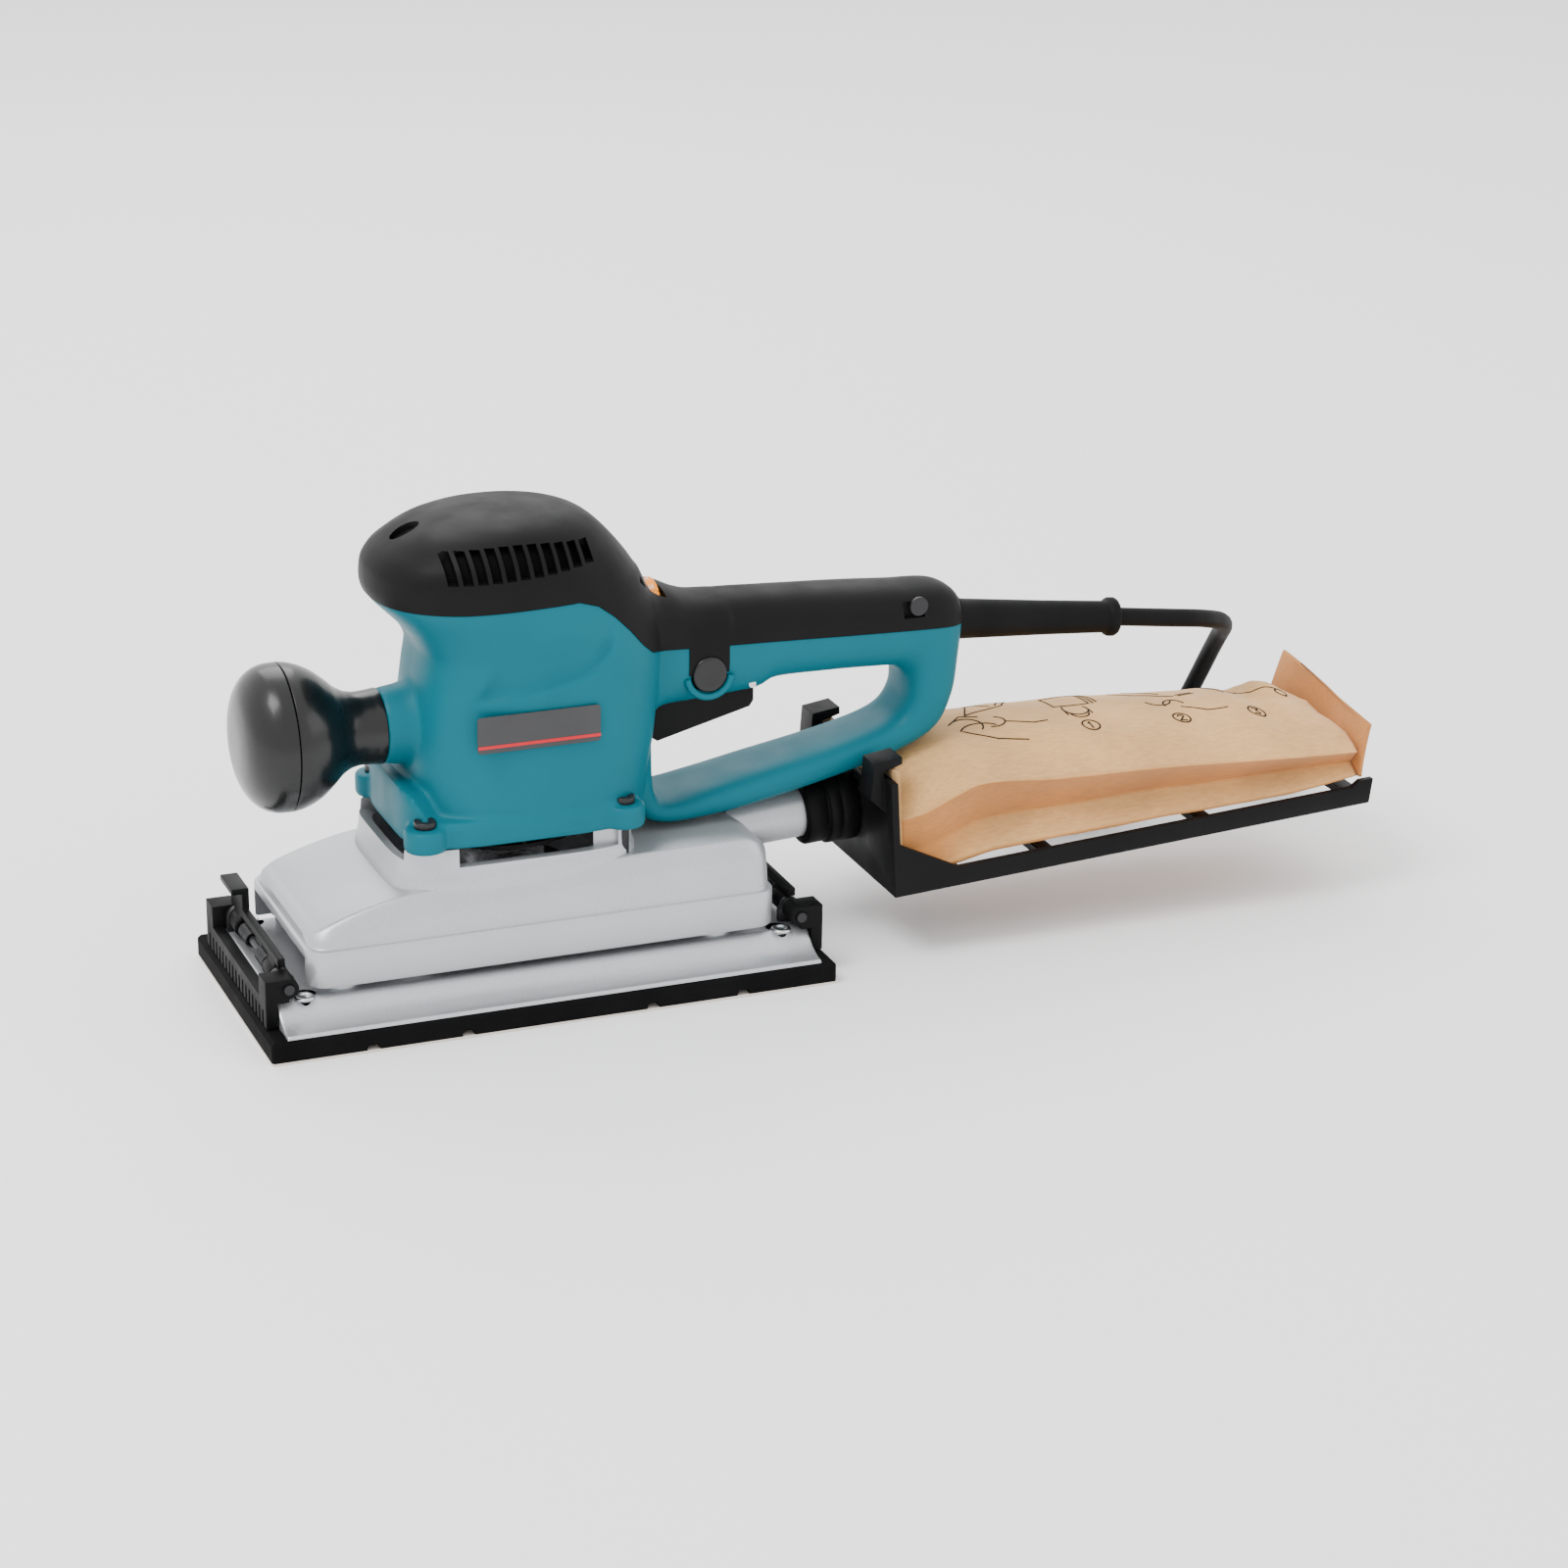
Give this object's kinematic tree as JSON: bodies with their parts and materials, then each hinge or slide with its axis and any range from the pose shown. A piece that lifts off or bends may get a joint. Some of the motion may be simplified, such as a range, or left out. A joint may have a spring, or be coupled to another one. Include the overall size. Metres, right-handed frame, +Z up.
{
  "type": "orbital finishing sander",
  "caption": "Half-sheet orbital sander with motor column, D-handle, front knob, spring-clamped pad and paper dust bag on a rear holder.",
  "frame": {"origin": "centre of the abrasive sheet's working face", "axes": "+X from the front knob to the cord and dust bag, +Z up from the work, lock button on the -Y side"},
  "size_m": [0.5265, 0.2304, 0.1928],
  "materials": {
    "abrasive": "coated abrasive paper",
    "black_rubber": "moulded rubber, matt",
    "cast_alloy": "silver fine-grain paint on die casting",
    "pan_alloy": "satin cast aluminium",
    "teal_plastic": "teal moulded plastic, semi-gloss",
    "black_plastic": "black moulded plastic, fine grain",
    "gloss_black": "polished black plastic",
    "badge": "grey plate with a red line",
    "steel": "machined steel",
    "black_steel": "blackened sheet steel",
    "copper": "enamelled copper wire",
    "lamination": "stacked steel laminations",
    "carbon": "carbon",
    "brass": "brass",
    "orange_plastic": "orange moulded plastic",
    "board": "potted circuit board",
    "kraft_paper": "kraft paper",
    "cardboard": "brown card"
  },
  "bodies": {
    "root": {"base_housing": "cast_alloy", "bearing_retainer": "steel", "fan_baffle": "black_plastic", "dust_pipe": "cast_alloy", "motor_housing": "teal_plastic", "top_cover": "black_plastic", "badge_plate": "badge", "housing_screws": "black_steel", "cover_screws": "black_steel", "knob_body": "gloss_black", "knob_cap": "gloss_black", "knob_bolt": "steel", "lower_bearing": "steel", "upper_bearing": "steel", "field_stator": "lamination", "field_coils": "copper", "bearing_bridge": "black_plastic", "brush_holders": "brass", "carbon_brushes": "carbon", "trigger_pin": "steel", "switch_body": "black_plastic", "speed_controller": "board", "lead_wires": "black_rubber", "cord_clamp": "black_plastic", "clamp_screws": "steel", "cord_guard": "black_rubber", "inner_lead": "black_rubber", "cord": "black_rubber", "cord_coil": "black_rubber", "cord_tail": "black_rubber", "plug": "black_rubber", "plug_pins": "brass"},
    "armature": {"armature_shaft": "steel", "armature_core": "lamination", "armature_windings": "copper", "commutator": "copper", "cooling_fan": "black_plastic", "dust_fan": "black_plastic", "crank_weight": "steel"},
    "pan": {"pan_plate": "pan_alloy", "rubber_pad": "black_rubber", "abrasive_sheet": "abrasive", "pad_screws": "steel", "flex_columns": "steel", "column_screws": "steel", "pan_bearing": "steel", "clamp_brackets": "black_steel", "clamp_rods": "steel", "clamp_springs": "steel"},
    "front_lever": {"front_clamp_lever": "black_steel"},
    "front_jaw": {"front_clamp_jaw": "black_steel"},
    "rear_lever": {"rear_clamp_lever": "black_steel"},
    "rear_jaw": {"rear_clamp_jaw": "black_steel"},
    "trigger_lever": {"trigger": "black_plastic"},
    "lock": {"lock_button": "black_plastic"},
    "dial": {"speed_dial": "orange_plastic"},
    "holder": {"bag_holder": "black_plastic", "coupling_sleeve": "black_rubber"},
    "bag": {"dust_bag": "kraft_paper", "bag_flange": "cardboard"}
  },
  "joints": [
    {"name": "motor_spin", "type": "hinge", "parent": "root", "child": "armature", "pos_m": [-0.006, 0, 0.05], "axis": [0, 0, 1], "continuous": true},
    {"name": "pan_orbit", "type": "hinge", "parent": "armature", "child": "pan", "pos_m": [-0.0047, 0, 0.014], "axis": [0, 0, 1], "continuous": true},
    {"name": "front_lever_tilt", "type": "hinge", "parent": "pan", "child": "front_lever", "pos_m": [-0.104, 0, 0.0248], "axis": [0, -1, 0], "range_deg": [0, 75]},
    {"name": "front_jaw_lift", "type": "hinge", "parent": "pan", "child": "front_jaw", "pos_m": [-0.104, 0, 0.0248], "axis": [0, 1, 0], "range_deg": [0, 15]},
    {"name": "rear_lever_tilt", "type": "hinge", "parent": "pan", "child": "rear_lever", "pos_m": [0.104, 0, 0.0248], "axis": [0, 1, 0], "range_deg": [0, 75]},
    {"name": "rear_jaw_lift", "type": "hinge", "parent": "pan", "child": "rear_jaw", "pos_m": [0.104, 0, 0.0248], "axis": [0, -1, 0], "range_deg": [0, 15]},
    {"name": "trigger_press", "type": "hinge", "parent": "root", "child": "trigger_lever", "pos_m": [0.094, 0, 0.1136], "axis": [0, 1, 0], "range_deg": [0, 6], "stiffness_Nm_per_rad": 0.5, "springref_deg": -2.86},
    {"name": "lock_press", "type": "slide", "parent": "root", "child": "lock", "axis": [0, 1, 0], "range_m": [0, 0.003], "stiffness_N_per_m": 400, "springref_m": -0.001},
    {"name": "dial_turn", "type": "hinge", "parent": "root", "child": "dial", "pos_m": [0.055, 0, 0.1446], "axis": [1, 0, 0], "range_deg": [0, 270]},
    {"name": "holder_pull", "type": "slide", "parent": "root", "child": "holder", "axis": [0.9982, 0, 0.0604], "range_m": [0, 0.05]},
    {"name": "bag_pull", "type": "slide", "parent": "holder", "child": "bag", "axis": [0.9982, 0, 0.0604], "range_m": [0, 0.1]}
  ],
  "couplings": [
    {"joint": "pan_orbit", "follows": "motor_spin", "ratio": -1},
    {"joint": "front_jaw_lift", "follows": "front_lever_tilt", "ratio": 0.2},
    {"joint": "rear_jaw_lift", "follows": "rear_lever_tilt", "ratio": 0.2}
  ]
}
